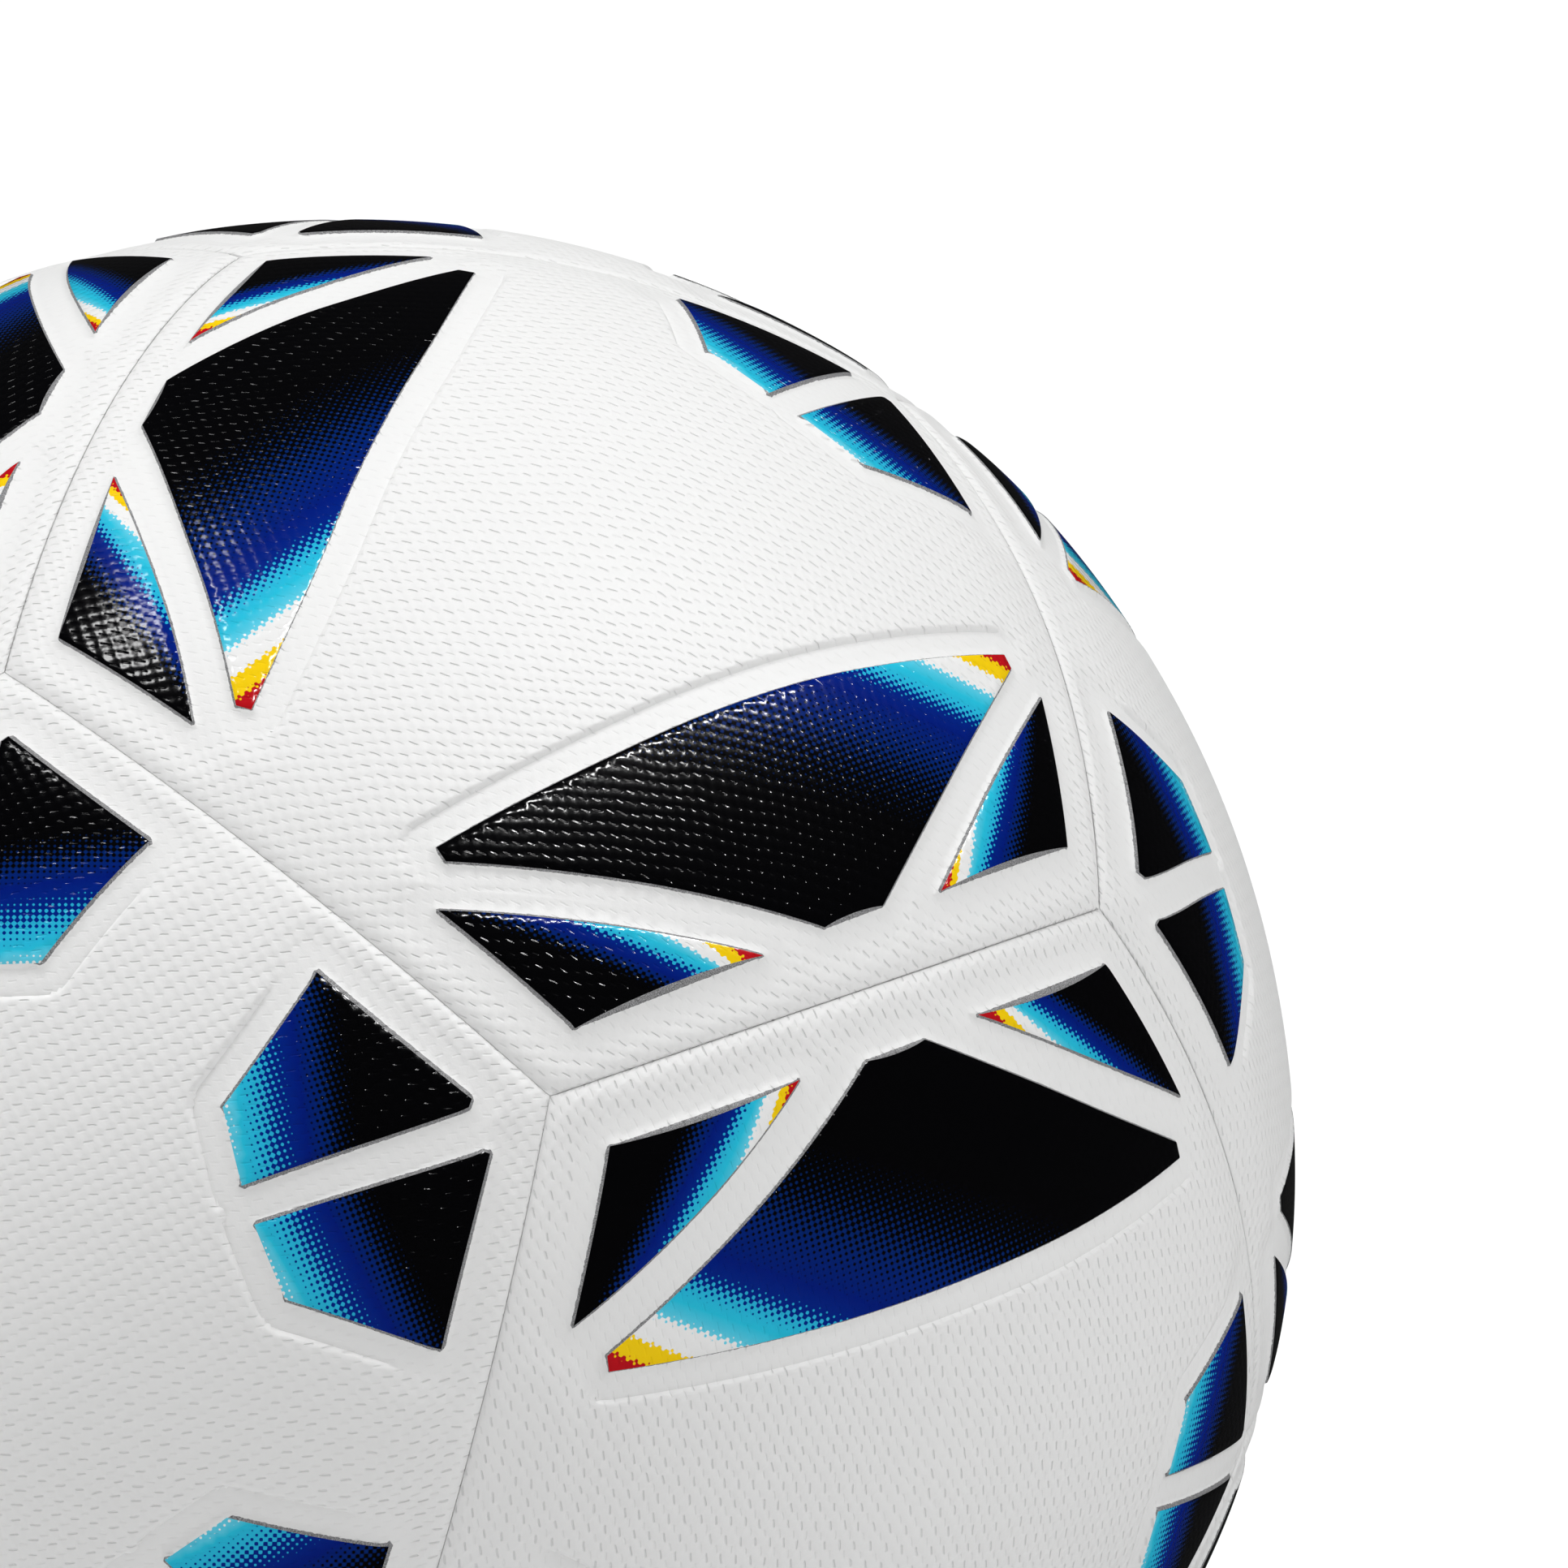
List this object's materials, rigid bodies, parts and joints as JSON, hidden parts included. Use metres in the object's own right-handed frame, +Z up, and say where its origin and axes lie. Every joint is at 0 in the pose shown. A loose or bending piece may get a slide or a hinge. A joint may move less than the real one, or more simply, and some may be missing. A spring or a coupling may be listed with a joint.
{
  "type": "soccer ball",
  "caption": "Full-size match football of thermally bonded pentagonal panels over a textile carcass and a butyl bladder, with a needle valve.",
  "frame": {"origin": "centre of the ball", "axes": "+Z up with the ground contact flat at -Z; -Y through the centre of the front pole panel; +Y out through the valve in the rear pole panel"},
  "size_m": [0.2198, 0.2199, 0.2194],
  "materials": {
    "cover_skin": "satin",
    "backing_foam": "matte",
    "seam_bond": "satin",
    "carcass_textile": "matte",
    "bladder_rubber": "satin",
    "patch_rubber": "matte",
    "valve_rubber": "satin",
    "core_rubber": "satin"
  },
  "bodies": {
    "ball": {"skin_front_pole": "cover_skin", "skin_front_ring_1": "cover_skin", "skin_front_ring_2": "cover_skin", "skin_front_ring_3": "cover_skin", "skin_front_ring_4": "cover_skin", "skin_front_ring_5": "cover_skin", "skin_rear_ring_1": "cover_skin", "skin_rear_ring_2": "cover_skin", "skin_rear_ring_3": "cover_skin", "skin_rear_ring_4": "cover_skin", "skin_rear_ring_5": "cover_skin", "skin_rear_pole": "cover_skin", "foam_front_pole": "backing_foam", "foam_front_ring_1": "backing_foam", "foam_front_ring_2": "backing_foam", "foam_front_ring_3": "backing_foam", "foam_front_ring_4": "backing_foam", "foam_front_ring_5": "backing_foam", "foam_rear_ring_1": "backing_foam", "foam_rear_ring_2": "backing_foam", "foam_rear_ring_3": "backing_foam", "foam_rear_ring_4": "backing_foam", "foam_rear_ring_5": "backing_foam", "foam_rear_pole": "backing_foam", "seam_bond": "seam_bond", "carcass": "carcass_textile", "bladder": "bladder_rubber", "valve_patch": "patch_rubber", "counterweight": "patch_rubber", "valve_housing": "valve_rubber"},
    "core": {"valve_core": "core_rubber"}
  },
  "joints": [
    {"name": "valve_core_pull", "type": "slide", "parent": "ball", "child": "core", "axis": [0, 1, 0], "range_m": [0, 0.03]}
  ]
}
